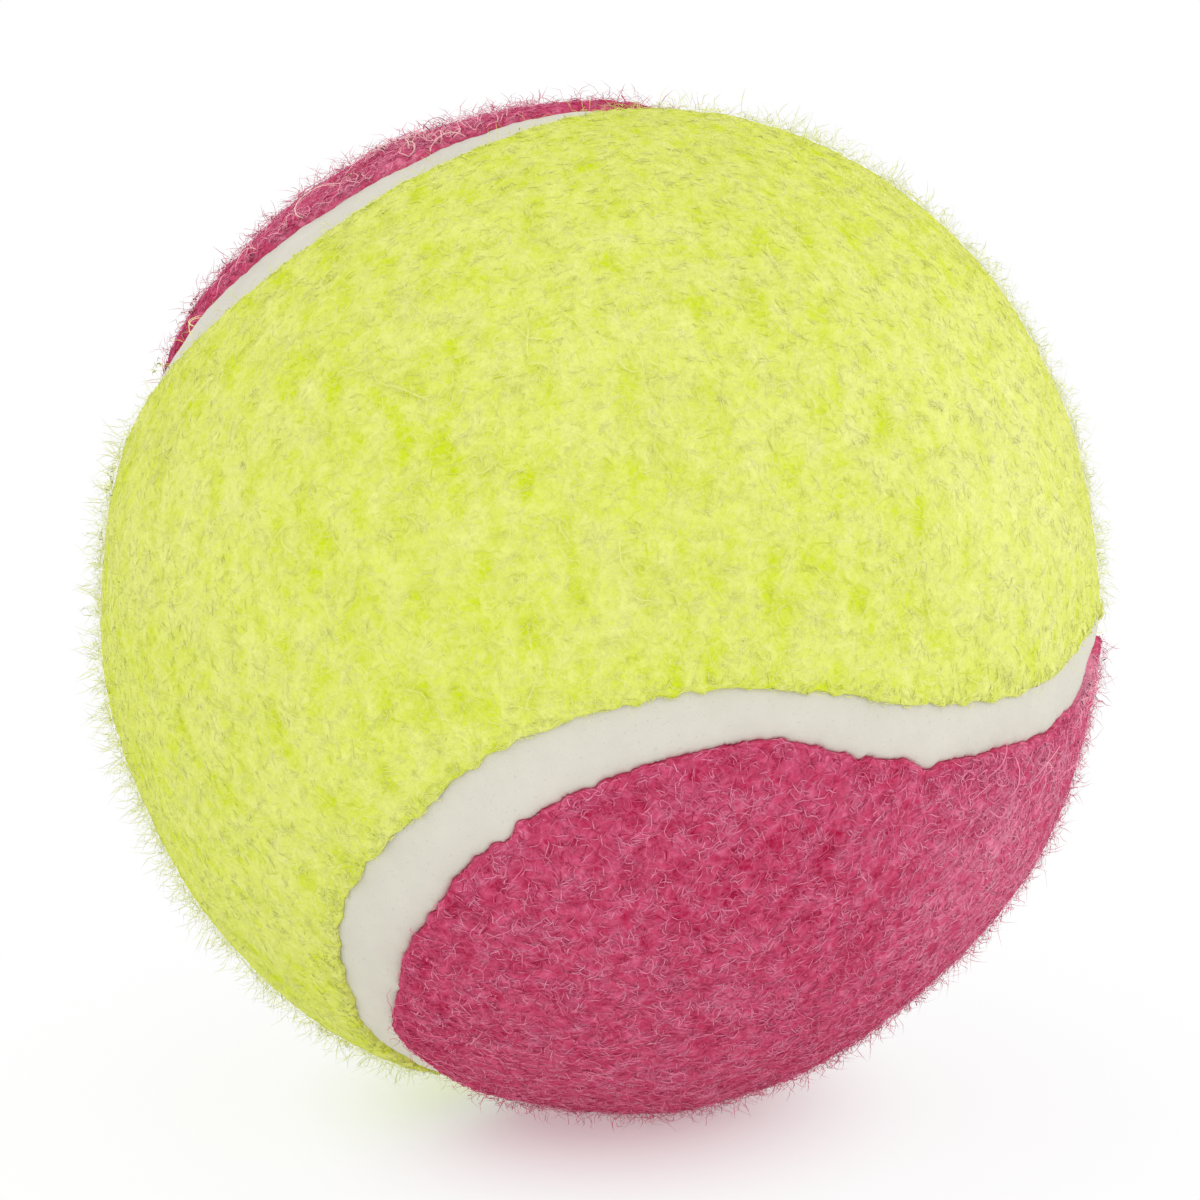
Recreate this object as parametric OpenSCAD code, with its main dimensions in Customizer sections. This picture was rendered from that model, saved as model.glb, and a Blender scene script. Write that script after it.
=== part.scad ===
// Tennis ball: a hollow rubber core of two cemented halves under a cover of two like felt panels, one
// yellow-green and one pink, laid edge to edge along a winding rubber seam.
// All lengths are in millimetres. The origin is the ball's centre, and the ball rests on its lowest point.

/* [Ball] */
// Diameter over the felt
ball_d = 66; // [60:0.5:75]
// Height of the felt's nap above its cloth
nap_t = 2.3; // [1.6:0.1:3.5]
// Thickness of the woven cloth that carries the nap
cloth_t = 0.8; // [0.5:0.1:1.2]
// Thickness of the coat of cement between the core and its cover
coat_t = 0.3; // [0.2:0.05:0.6]

/* [Core] */
// Wall of the hollow rubber core
core_wall = 4; // [3:0.1:6]
// Thickness of the cement film between the core's halves
film_t = 0.3; // [0.2:0.05:0.6]
// Radius of the bead of cement squeezed out inside the joint
bead_r = 0.9; // [0.6:0.1:1.5]

/* [Seam] */
// Width of the seam's face between the panels
seam_w = 3.8; // [2.5:0.1:5]
// Depth of the seam's face below the tips of the nap
seam_drop = 0.9; // [0.7:0.05:1.4]
// Lift of each lobe's centre off the cover's equator, in degrees
lobe_lift = 15.5; // [12:0.5:18]
// Angle from each lobe's centre out to the seam's middle, in degrees
lobe_arc = 36.8; // [34:0.2:39]

/* [Felt edge] */
// Width over which the nap rounds down to the seam
edge_w = 1.1; // [0.6:0.1:2]
// Height of that rounding
edge_h = 0.65; // [0.4:0.05:0.65]

/* [Lie of the cover] */
// Turn of the cover about the middle of the yellow panel, in degrees
cover_roll = -7.1; // [-180:0.1:180]
// Tilt of the yellow panel's middle away from straight up, in degrees
cover_tilt = 73.9; // [0:0.1:180]
// Compass turn of that tilt about the vertical, in degrees
cover_heading = -127.2; // [-180:0.1:180]

/* [Hidden] */
$fn = 96;

// The layers' radii, from the outside in
ball_r = ball_d / 2;
cloth_r = ball_r - nap_t;
coat_r = cloth_r - cloth_t;
core_r = coat_r - coat_t;
hollow_r = core_r - core_wall;
seam_r = ball_r - seam_drop;

// The seam in its own axes. Each panel has two lobes, and the four lobes stand 90 degrees apart round
// the equator, a panel's two leaning one way and the other panel's two the other way. The seam's middle
// runs round each lobe as a circle and from lobe to lobe as a great circle that touches both, so it
// is smooth all the way. These are unit vectors from the ball's centre.
x_axis = [1, 0, 0];
lobe_axis = unit([cos(lobe_lift), cos(lobe_lift), sqrt(2) * sin(lobe_lift)]);
leg_lean = atan2(lobe_axis.z, lobe_axis.y) - acos(sin(lobe_arc) / norm([lobe_axis.y, lobe_axis.z]));
leg_axis = [0, -sin(leg_lean), cos(leg_lean)];
leg_arc = atan2(lobe_axis * leg_axis, lobe_axis * x_axis);
joint_axis = toward(x_axis, leg_axis, leg_arc);
start_axis = unit(joint_axis - lobe_axis * (joint_axis * lobe_axis));
across_axis = cross(lobe_axis, start_axis);
top_axis = [cos(lobe_lift + lobe_arc), cos(lobe_lift + lobe_arc), sqrt(2) * sin(lobe_lift + lobe_arc)];
lobe_sweep = atan2(top_axis * across_axis, top_axis * start_axis);

// Steps along half a leg and half a lobe
leg_steps = 4;
lobe_steps = 20;
half_steps = leg_steps + lobe_steps;

// Each station is a point of the seam's middle and the direction across the seam away from the lobe
leg_stations = [for (i = [0 : leg_steps - 1])
    [toward(x_axis, leg_axis, leg_arc * i / leg_steps), cross(x_axis, leg_axis)]];
lobe_stations = [for (i = [0 : lobe_steps])
    let (spoke = toward(start_axis, across_axis, lobe_sweep * i / lobe_steps))
    [toward(lobe_axis, spoke, lobe_arc), toward(spoke, -lobe_axis, lobe_arc)]];
rising = concat(leg_stations, lobe_stations);
falling = [for (i = [half_steps - 1 : -1 : 1]) [swapped(rising[i][0]), swapped(rising[i][1])]];
quarter = concat(rising, falling);
// The four quarters, the direction now always from the pink panel toward the yellow one
stations = [for (k = [0 : 3]) for (s = quarter)
    [quarter_turned(s[0], k), quarter_turned(s[1], k) * (k % 2 == 0 ? 1 : -1)]];

// Angle from the seam's middle to a panel's edge
gap_angle = asin(seam_w / 2 / seam_r);
// The pattern's cone reaches well past the ball, so that its flat rungs pass outside the felt
cone_reach = 3 * ball_r;
// Facets of the rounded felt edge, and the angle they turn through before they meet the ball's surface
edge_steps = 3;
edge_turn = 75;

function unit(v) = v / norm(v);
// The direction at an angle from one unit vector toward another at right angles to it
function toward(from, to, angle) = from * cos(angle) + to * sin(angle);
function swapped(v) = [v.y, v.x, v.z];
// The move that carries the seam onto itself: a quarter turn about Z with a flip of Z
function quarter_turned(v, k) =
    [v.x * cos(90 * k) - v.y * sin(90 * k), v.x * sin(90 * k) + v.y * cos(90 * k), k % 2 == 0 ? v.z : -v.z];
// The point beside station s, at an angle from the seam's middle into the pink panel and a radius
function beside(s, angle, radius) = toward(s[0], -s[1], angle) * radius;

module shell(outer_r, inner_r) {
    difference() {
        sphere(r = outer_r);
        sphere(r = inner_r);
    }
}

// The triangles between two rings of points, one ring following the other in the list of points
function band(ring, next_ring, count) = [for (i = [0 : count - 1])
    let (a = ring * count + i, b = ring * count + (i + 1) % count,
         c = next_ring * count + (i + 1) % count, d = next_ring * count + i)
    for (f = [[a, b, c], [a, c, d]]) f];

// All that lies within the pink panel's outline, from the ball's centre out. Each ring is an angle
// from the seam's middle and a radius. The last ring is closed by a ladder of rungs between
// like points of the outline's two sides, far enough out for the flat rungs to pass outside the felt.
module panel_form(rings) {
    count = len(stations);
    points = [for (r = rings) for (s = stations) beside(s, r[0], r[1])];
    last = (len(rings) - 1) * count;
    left = [for (i = [0 : count / 2]) last + (half_steps + i) % count];
    right = [for (i = [0 : count / 2]) last + (half_steps - i + count) % count];
    walls = [for (i = [0 : count - 1]) [len(points), i, (i + 1) % count]];
    bands = [for (k = [1 : 1 : len(rings) - 1]) for (f = band(k, k - 1, count)) f];
    rungs_a = [for (i = [0 : count / 2 - 1]) [left[i], right[i + 1], left[i + 1]]];
    rungs_b = [for (i = [1 : count / 2 - 1]) [left[i], right[i], right[i + 1]]];
    polyhedron(concat(points, [[0, 0, 0]]), concat(walls, bands, rungs_a, rungs_b));
}

// The space between the two panels, well past the seam inward and outward
module gap_form() {
    count = len(stations);
    rings = [[-gap_angle, hollow_r], [gap_angle, hollow_r], [gap_angle, ball_d], [-gap_angle, ball_d]];
    points = [for (r = rings) for (s = stations) beside(s, r[0], r[1])];
    faces = [for (k = [0 : 3]) for (f = band(k, (k + 1) % 4, count)) f];
    polyhedron(points, faces);
}

// Puts the cover on the ball as it lies
module laid() {
    rotate([0, cover_tilt, cover_heading]) rotate([0, 0, cover_roll]) children();
}

// The two panels are the same shape: half a turn about X carries the pink one to the yellow one's place
module yellow_side() {
    rotate([180, 0, 0]) children();
}

// A layer of the pink panel. The shell is turned to bring its spheres' poles under the seam.
module panel_layer(outer_r, inner_r, rings) {
    intersection() {
        rotate([0, 90, 0]) shell(outer_r, inner_r);
        panel_form(rings);
    }
}

module backing_cloth() {
    panel_layer(cloth_r, coat_r, [[gap_angle, cone_reach]]);
}

// The nap's edge stands square on the cloth and rounds over to the ball's surface
module felt() {
    rounding = [for (i = [0 : edge_steps]) let (a = edge_turn * i / edge_steps)
        [gap_angle + asin(edge_w * (1 - cos(a)) / ball_r), ball_r - edge_h * (1 - sin(a))]];
    beyond = 3 * rounding[edge_steps] - 2 * rounding[edge_steps - 1];
    panel_layer(ball_r, cloth_r, concat(rounding, [beyond, [beyond[0], cone_reach]]));
}

module core_half() {
    difference() {
        sphere(r = core_r);
        sphere(r = hollow_r);
        translate([-ball_r, -ball_r, film_t / 2 - ball_d]) cube(ball_d);
    }
}

module lower_core_half() {
    color("dimgray") rotate([180, 0, 0]) core_half();
}

module upper_core_half() {
    color("dimgray") core_half();
}

// The film between the halves' rims, with the bead that was squeezed out of it inside
module core_joint_cement() {
    color("wheat") rotate_extrude() {
        intersection() {
            difference() {
                circle(r = core_r);
                circle(r = hollow_r);
            }
            translate([0, -film_t / 2]) square([ball_r, film_t]);
        }
        intersection() {
            translate([hollow_r, 0]) circle(r = bead_r);
            circle(r = hollow_r);
        }
    }
}

module cover_cement() {
    color("ivory") shell(coat_r, core_r);
}

module yellow_backing_cloth() {
    color("palegoldenrod") laid() yellow_side() backing_cloth();
}

module pink_backing_cloth() {
    color("palevioletred") laid() backing_cloth();
}

module yellow_felt() {
    color("#DCE46C") laid() yellow_side() felt();
}

module pink_felt() {
    color("#BC4869") laid() felt();
}

module seam_rubber() {
    color("#DED9CE") laid() intersection() {
        shell(seam_r, coat_r);
        gap_form();
    }
}

lower_core_half();
upper_core_half();
core_joint_cement();
cover_cement();
yellow_backing_cloth();
pink_backing_cloth();
yellow_felt();
pink_felt();
seam_rubber();
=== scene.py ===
# %% [markdown]
# # A tennis ball in two colours
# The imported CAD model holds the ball's layers as plain solids: a hollow rubber core, cement, woven
# cloth, two felt panels and the rubber seam between them. Here the outer layers get their real
# surfaces: raised nap, uneven cut edges and a speckled seam.

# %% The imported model
import math

import bpy
import numpy as np
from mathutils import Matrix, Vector


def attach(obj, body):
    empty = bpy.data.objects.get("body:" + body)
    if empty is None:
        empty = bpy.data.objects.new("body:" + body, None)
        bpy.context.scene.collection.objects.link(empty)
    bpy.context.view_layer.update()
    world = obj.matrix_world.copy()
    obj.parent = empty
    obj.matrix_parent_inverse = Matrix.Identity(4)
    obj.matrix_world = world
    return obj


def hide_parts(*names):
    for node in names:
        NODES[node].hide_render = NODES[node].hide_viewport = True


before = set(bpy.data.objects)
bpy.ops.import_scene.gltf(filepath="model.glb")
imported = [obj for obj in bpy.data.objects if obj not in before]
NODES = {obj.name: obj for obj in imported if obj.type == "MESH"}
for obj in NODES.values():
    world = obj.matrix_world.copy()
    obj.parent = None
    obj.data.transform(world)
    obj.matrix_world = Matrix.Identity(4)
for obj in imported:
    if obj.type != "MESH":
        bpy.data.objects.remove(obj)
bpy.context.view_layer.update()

print("CAD nodes:", {name: len(node.data.polygons) for name, node in NODES.items()})

# %% [markdown]
# ## Measures
# The numbers below repeat the CAD source's values, in millimetres and degrees, so that the new
# surfaces lie where the solids do. Lengths stay in millimetres until a mesh is made, because felt
# is easier to think about that way, and each mesh is written in metres.

# %% The ball's own measures
MM = 0.001
BALL_R = 33.0
CLOTH_R = 30.7
COAT_R = 29.9
SEAM_R = 32.1
FLOOR_Z = -BALL_R
LOBE_LIFT, LOBE_ARC = math.radians(15.5), math.radians(36.8)
COVER_ROLL, COVER_TILT, COVER_HEADING = (math.radians(a) for a in (-7.1, 73.9, -127.2))
LEG_STEPS, LOBE_STEPS = 91, 102
HALF_STEPS = LEG_STEPS + LOBE_STEPS
STATIONS = 8 * HALF_STEPS
YELLOW, PINK = 1, -1
NAMES = {YELLOW: "yellow", PINK: "pink"}

# %% [markdown]
# ## The camera
# The photograph was taken from slightly above, at about eight ball radii. A long lens keeps that
# perspective, and a very small shift puts the ball's centre on the photograph's pixel. The camera
# comes first, because a few paler places and loose hairs of the felt are found by their pixels.

# %% The camera
PICTURE = 1200
FOCAL_PIXELS = 4017.0
CENTRE_PIXEL = np.array([602.2, 605.2])
CAMERA_DISTANCE = 264.0
CAMERA_TILT = math.radians(8)
VIEW_RIGHT = np.array([1.0, 0.0, 0.0])
VIEW_UP = np.array([0.0, math.sin(CAMERA_TILT), math.cos(CAMERA_TILT)])
VIEW_BACK = np.array([0.0, -math.cos(CAMERA_TILT), math.sin(CAMERA_TILT)])

lens = bpy.data.cameras.new("photograph_view")
lens.sensor_width = 36.0
lens.lens = FOCAL_PIXELS / PICTURE * lens.sensor_width
lens.shift_x, lens.shift_y = (PICTURE / 2 - CENTRE_PIXEL) / PICTURE * [1, -1]
lens.clip_start, lens.clip_end = 0.01, 20
camera = bpy.data.objects.new("photograph_view", lens)
bpy.context.scene.collection.objects.link(camera)
camera.location = VIEW_BACK * CAMERA_DISTANCE * MM
camera.rotation_mode = "QUATERNION"
camera.rotation_quaternion = Vector(-VIEW_BACK).to_track_quat("-Z", "Y")
bpy.context.scene.camera = camera
print("lens", round(lens.lens, 1), "mm, shift", round(lens.shift_x, 4), round(lens.shift_y, 4))

# %% [markdown]
# ## The seam's course
# On a real ball two dog-bone panels meet along one winding line. Here each of its four lobes is a
# circle and each crossing a great circle that touches two of them. A spline through picked points
# could look similar, but arcs give the exact middle of the CAD seam, at any number of steps.

# %% Directions on the ball
def unit(v):
    """Each vector divided by its own length."""
    return v / np.linalg.norm(v, axis=-1, keepdims=True)


def toward(start, end, angle):
    """start * cos(angle) + end * sin(angle): the direction at an angle from one unit vector to another."""
    angle = np.asarray(angle)[..., None]
    return start * np.cos(angle) + end * np.sin(angle)


def dots(a, b):
    """The scalar product of each pair of vectors."""
    return (a * b).sum(axis=-1)


print("halfway from X to Y:", toward(np.array([1, 0, 0]), np.array([0, 1, 0]), math.pi / 4).round(3))

# %% The seam's stations
def rising_half():
    """Half a leg, then half a lobe: points on the great circle from X toward the leg's axis, and
    points at the lobe's angle from its axis. Beside each, the direction across the seam."""
    lobe = unit(np.array([math.cos(LOBE_LIFT), math.cos(LOBE_LIFT), math.sqrt(2) * math.sin(LOBE_LIFT)]))
    lean = math.atan2(lobe[2], lobe[1]) - math.acos(math.sin(LOBE_ARC) / math.hypot(lobe[1], lobe[2]))
    x_axis, leg = np.array([1.0, 0, 0]), np.array([0, -math.sin(lean), math.cos(lean)])
    leg_arc = math.atan2(lobe @ leg, lobe[0])
    joint = toward(x_axis, leg, leg_arc)
    start = unit(joint - lobe * (joint @ lobe))
    across = np.cross(lobe, start)
    high = LOBE_LIFT + LOBE_ARC
    top = np.array([math.cos(high), math.cos(high), math.sqrt(2) * math.sin(high)])
    sweep = math.atan2(top @ across, top @ start)
    leg_points = toward(x_axis, leg, leg_arc * np.arange(LEG_STEPS) / LEG_STEPS)
    leg_sides = np.tile(np.cross(x_axis, leg), (LEG_STEPS, 1))
    spokes = toward(start, across, sweep * np.arange(LOBE_STEPS + 1) / LOBE_STEPS)
    lobe_points, lobe_sides = toward(lobe, spokes, LOBE_ARC), toward(spokes, -lobe, LOBE_ARC)
    return np.stack([np.vstack([leg_points, lobe_points]), np.vstack([leg_sides, lobe_sides])], axis=1)


def turn(angle, axis):
    """The matrix of a turn about the Z (2) or Y (1) axis."""
    c, s = math.cos(angle), math.sin(angle)
    if axis == 2:
        return np.array([[c, -s, 0], [s, c, 0], [0, 0, 1]])
    return np.array([[c, 0, s], [0, 1, 0], [-s, 0, c]])


def seam_course():
    """Rising half, its mirror image in the plane x = y run backwards, and the four quarters of the
    seam by quarter turns with a flip of Z. Sides point from the pink panel to the yellow one."""
    rising = rising_half()
    falling = rising[-2:0:-1][:, :, [1, 0, 2]]
    quarter = np.concatenate([rising, falling])
    whole = []
    for k in range(4):
        move = turn(math.pi / 2 * k, 2) @ np.diag([1, 1, (-1) ** k])
        moved = quarter @ move.T
        moved[:, 1] *= (-1) ** k
        whole.append(moved)
    return np.concatenate(whole)


LAY = turn(COVER_HEADING, 2) @ turn(COVER_TILT, 1) @ turn(COVER_ROLL, 2)
course = seam_course() @ LAY.T
MIDDLE, ACROSS = course[:, 0], course[:, 1]
steps = BALL_R * np.linalg.norm(np.roll(MIDDLE, -1, axis=0) - MIDDLE, axis=1)
ALONG = np.concatenate([[0], np.cumsum(steps)[:-1]])
SEAM_LENGTH = steps.sum()
print(len(MIDDLE), "stations,", round(SEAM_LENGTH, 1), "mm round, steps of", round(steps.mean(), 3), "mm")

# %% [markdown]
# ## The cut edges
# The panels of a real ball are die-cut and pressed on by hand, so the seam's width wanders. The
# yellow edge is scalloped, and the pink one has fine teeth. Both are written as plain functions of
# the length along the seam: bell curves for the wide and narrow stretches that the photograph
# shows, slow waves for the rest, and a row of scallops or teeth on top.

# %% Waves and bumps along the seam
def bell(away, width):
    """exp(-(away / width)^2 / 2): 1 at the middle, fading over the width."""
    return np.exp(-0.5 * (away / width) ** 2)


def wobble(seed, longest, shortest, count=14):
    """A sum of count cosines that close up round the seam, with wavelengths between two bounds,
    divided by sqrt(count / 2), so that its spread is about one."""
    rng = np.random.default_rng(seed)
    turns = rng.integers(math.ceil(SEAM_LENGTH / longest), int(SEAM_LENGTH / shortest) + 1, count)
    phases = rng.uniform(0, 2 * np.pi, count)
    angles = 2 * np.pi * np.outer(turns, ALONG / SEAM_LENGTH) + phases[:, None]
    return np.cos(angles).sum(axis=0) / math.sqrt(count / 2)


def bumps(table):
    """For each (centre, width, height), the height times a bell of the length from the centre, all added."""
    centre, width, height = np.array(table).T[:, :, None]
    away = (ALONG - centre + SEAM_LENGTH / 2) % SEAM_LENGTH - SEAM_LENGTH / 2
    return (height * bell(away, width)).sum(axis=0)


# %% The yellow edge and the pink edge
YELLOW_BUMPS = [(15, 7, 0.55), (73, 7, -1.0), (92, 5, 2.6), (195, 9, 0.9), (184.5, 5.5, -0.75)]
PINK_BUMPS = [(14.3, 3.8, 1.75), (33, 5, -0.5), (38, 20, -0.32), (58, 5, 0.75), (70.5, 4, -0.45),
              (75, 6, -0.2), (93, 4.3, 4.0), (96, 2.6, 1.1), (188, 16, 0.25), (193, 9, -1.2),
              (180, 5, -0.5), (202, 4, -0.8)]
PINK_NICKS = [(39.7, 0.5, -0.3), (40.6, 0.35, 0.3), (70, 0.6, -0.7), (85.4, 0.35, 0.3)]
YELLOW_REST, PINK_REST = 1.85, -2.0
SCALLOPS, SCALLOP_DEPTH = 94, 0.26
TEETH, TOOTH_DEPTH = 430, 0.11

scallop_phase = SCALLOPS * ALONG / SEAM_LENGTH + 0.35 * wobble(3, 30, 7)
tooth_phase = TEETH * ALONG / SEAM_LENGTH + 0.5 * wobble(4, 8, 2)
teeth = TOOTH_DEPTH * (np.abs(np.sin(np.pi * tooth_phase)) - 0.6)
yellow_rough = SCALLOP_DEPTH * np.abs(np.sin(np.pi * scallop_phase)) + 0.035 * wobble(6, 3, 0.9)
pink_rough = bumps(PINK_NICKS) + teeth + 0.05 * wobble(8, 4, 1.2)
EDGE_SMOOTH = {YELLOW: YELLOW_REST + bumps(YELLOW_BUMPS) + 0.1 * wobble(5, 40, 10),
               PINK: PINK_REST + bumps(PINK_BUMPS) + 0.1 * wobble(7, 40, 8)}
EDGE = {YELLOW: EDGE_SMOOTH[YELLOW] + yellow_rough, PINK: EDGE_SMOOTH[PINK] + pink_rough}
WIDTH = EDGE[YELLOW] - EDGE[PINK]
print("seam width from", round(WIDTH.min(), 2), "to", round(WIDTH.max(), 2), "mm")

# %% [markdown]
# ## The felt's lumps
# Nap is matted by heat and handling into small lumps with hollows between. A field made of many
# plane waves in random directions gives such lumps with a size that can be chosen, has no seam or
# pole, and can be asked for at any point, so the felt's surface and every fibre use the same one.

# %% A random field in space
LUMP_LONGEST, LUMP_SHORTEST = 2.8, 0.9


def field(points, seed, longest, shortest, count=40):
    """The sum of cos(wave . point + phase) over count plane waves whose lengths lie between two
    bounds, divided by sqrt(count / 2)."""
    rng = np.random.default_rng(seed)
    waves = unit(rng.normal(size=(count, 3))) * (2 * np.pi / rng.uniform(shortest, longest, count))[:, None]
    phases = rng.uniform(0, 2 * np.pi, count)
    flat = points.reshape(-1, 3)
    total = np.zeros(len(flat))
    for wave, phase in zip(waves, phases):
        total += np.cos(flat @ wave + phase)
    return (total / math.sqrt(count / 2)).reshape(points.shape[:-1])


def lumps(directions):
    """The small lumps at points of the ball, between -1 for a hollow and 1 for a tuft."""
    return np.tanh(0.9 * field(directions * BALL_R, 11, LUMP_LONGEST, LUMP_SHORTEST))


print("lumps under the seam's middle spread by", round(lumps(MIDDLE).std(), 2))

# %% [markdown]
# ## Worn, brushed and rim-lit places
# A used ball isn't even. Its felt is fuller in some patches and thinner in others, it stands out
# further on some sides, and it has paled where it was handled. Patches come from another random
# field. What the photograph shows at one place is a bell curve round that place, told by its
# pixel or, on the outline, by its angle: 0 to the right and 90 at the top. The paled places are
# partly worn felt and partly painted rim light: most lie near the outline, where they paint the
# nap's paler rim against the light.

# %% Patches of fuller nap
PATCH_TONES = {YELLOW: (0.08, 0.1), PINK: (0.04, 0.04)}
BRUSHED_STRETCH = 0.5


def patches(directions, side):
    """Slow patches of fuller and thinner nap, about from -2 to 2. On the yellow panel they are drawn
    out along the view's upward direction, as the brushed nap is."""
    places = directions * BALL_R
    if side == YELLOW:
        places = places - VIEW_UP * (BRUSHED_STRETCH * (places @ VIEW_UP))[..., None]
    return field(places, 41, 3.2, 0.9, 32)


def patch_tone(directions, side):
    """How much paler the fuller patches are, and how much deeper the thinnest ones."""
    fuller, thinnest = PATCH_TONES[side]
    patch = patches(directions, side)
    return fuller * patch - thinnest * np.clip(-patch - 0.5, 0, 1)


print("patches under the seam's middle spread by", round(patches(MIDDLE, PINK).std(), 2))

# %% Swells and shaggy places on the outline
SWELLS = [(58, 17, 0.6), (281, 11, 0.5), (3, 10, -0.5), (203, 18, -0.15), (40, 12, 0.15), (168, 10, 0.15),
          (122, 15, 0.4), (236, 8, 0.4), (288, 8, 0.25)]
SHAGGY = [(207, 24, 0.6), (66, 12, 0.5), (160, 10, 0.3), (278, 10, 0.3)]


def angle_from(directions, centre):
    """The angle in radians between each direction and one other."""
    return np.arccos(np.clip(directions @ centre, -1, 1))


def outline_bells(directions, table):
    """For each (angle on the outline, width in degrees, height), the height times a bell of the angle
    away from that place, all added."""
    total = np.zeros(directions.shape[:-1])
    for angle, width, height in table:
        centre = toward(VIEW_RIGHT, VIEW_UP, math.radians(angle))
        total += height * bell(np.degrees(angle_from(directions, centre)), width)
    return total


# %% Paled places and painted rim light, by their pixels
FADED_AND_RIM_LIT = {
    YELLOW: [(1030, 480, 9, 0.38), (640, 300, 9, 0.1), (180, 560, 8, 0.14), (330, 900, 8, 0.1)],
    PINK: [(1010, 850, 7, 0.3), (640, 1070, 8, 0.12), (1093, 660, 2.2, 0.8), (300, 230, 7, 0.15),
           (430, 150, 6, 0.2)],
}


def pixel_direction(x, y, radius=BALL_R - 0.2):
    """Where the ray through a pixel of the photograph first meets a sphere about the ball's centre,
    or passes it closest."""
    across, down = np.array([x, y]) - CENTRE_PIXEL
    ray = unit(VIEW_RIGHT * across - VIEW_UP * down - VIEW_BACK * FOCAL_PIXELS)
    eye = VIEW_BACK * CAMERA_DISTANCE
    half = ray @ eye
    depth = half * half - (eye @ eye - radius * radius)
    return unit(eye + ray * (-half - math.sqrt(max(depth, 0))))


def faded_and_rim_lit(directions, side):
    """How much paler the felt is, from wear and from painted rim light near the outline: for each
    (x, y, width in millimetres, height), the height times a bell of the distance from that pixel's
    place, all added."""
    total = np.zeros(directions.shape[:-1])
    for x, y, width, height in FADED_AND_RIM_LIT[side]:
        total += height * bell(angle_from(directions, pixel_direction(x, y)) * BALL_R, width)
    return total


print("the ball's middle in the picture faces", pixel_direction(*CENTRE_PIXEL).round(3))

# %% The felt's surface
FELT_DEPTH = 0.35
LUMP_HEIGHT, SWELL_HEIGHT = 0.07, 0.06
EDGE_ROUND, EDGE_ROUND_WIDTH = 0.3, 0.45
SETTLED_AT = 1.2


def felt_radius(directions, inside):
    """Radius of the felt's body: the ball's, less the nap's depth, plus lumps and slow swells, and
    rounded down at the edge along a quarter of an ellipse, sqrt(1 - (1 - inside / width)^2)."""
    swell = SWELL_HEIGHT * field(directions * BALL_R, 12, 14, 6, 16) + outline_bells(directions, SWELLS)
    rounding = EDGE_ROUND * (1 - np.sqrt(1 - (1 - np.clip(inside / EDGE_ROUND_WIDTH, 0, 1)) ** 2))
    settled = np.clip(inside / SETTLED_AT, 0, 1)
    return BALL_R - FELT_DEPTH + settled * (LUMP_HEIGHT * lumps(directions) + swell) - rounding


def above_floor(points, clearance=0.02):
    """The nap is pressed flat where the ball stands, so no point lies below the floor."""
    points[..., 2] = np.maximum(points[..., 2], FLOOR_Z + clearance)
    return points


edge, face = (felt_radius(MIDDLE, np.full(STATIONS, inside)).mean() for inside in (0, SETTLED_AT))
print("the felt body's mean radius is", round(edge, 2), "mm at its edge and", round(face, 2), "mm past it")

# %% [markdown]
# ## Making a mesh
# Every surface below is worked out as whole arrays of points and triangles. These cells join rings
# of points, weld equal ones, drop the triangles that this closes, turn the shape right side out by
# the sign of its volume, and write it to Blender in metres with `foreach_set`.

# %% Triangles
def joined_rings(rings, columns, closed):
    """The triangles between closed rings of points, each joined to the next, and the last to the
    first if closed. Ring r holds the points from r * columns on."""
    r, c = np.meshgrid(np.arange(rings if closed else rings - 1), np.arange(columns), indexing="ij")
    here, ahead, beside = r * columns, (r + 1) % rings * columns, (c + 1) % columns
    a, b, d, e = here + c, here + beside, ahead + c, ahead + beside
    return np.stack([a, b, e, a, e, d], axis=-1).reshape(-1, 3)


def welded(points, triangles):
    """Points equal to a ten-thousandth of a millimetre become one, and flat triangles go. Also
    returns which point stands for each that is left."""
    keys = np.round(points * 1e4).astype(np.int64)
    _, first, same = np.unique(keys, axis=0, return_index=True, return_inverse=True)
    triangles = same.reshape(-1)[triangles]
    a, b, c = triangles.T
    return points[first], triangles[(a != b) & (b != c) & (c != a)], first


def enclosed(points, triangles):
    """The volume inside: a sixth of the sum of a . (b x c) over the triangles."""
    a, b, c = points[triangles.T]
    return dots(a, np.cross(b, c)).sum() / 6


def open_edges(triangles):
    """How many edges aren't shared by exactly two triangles."""
    edges = np.sort(np.concatenate([triangles[:, pair] for pair in ([0, 1], [1, 2], [2, 0])]), axis=1)
    _, uses = np.unique(edges[:, 0] * (edges.max() + 1) + edges[:, 1], return_counts=True)
    return int((uses != 2).sum())


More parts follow.
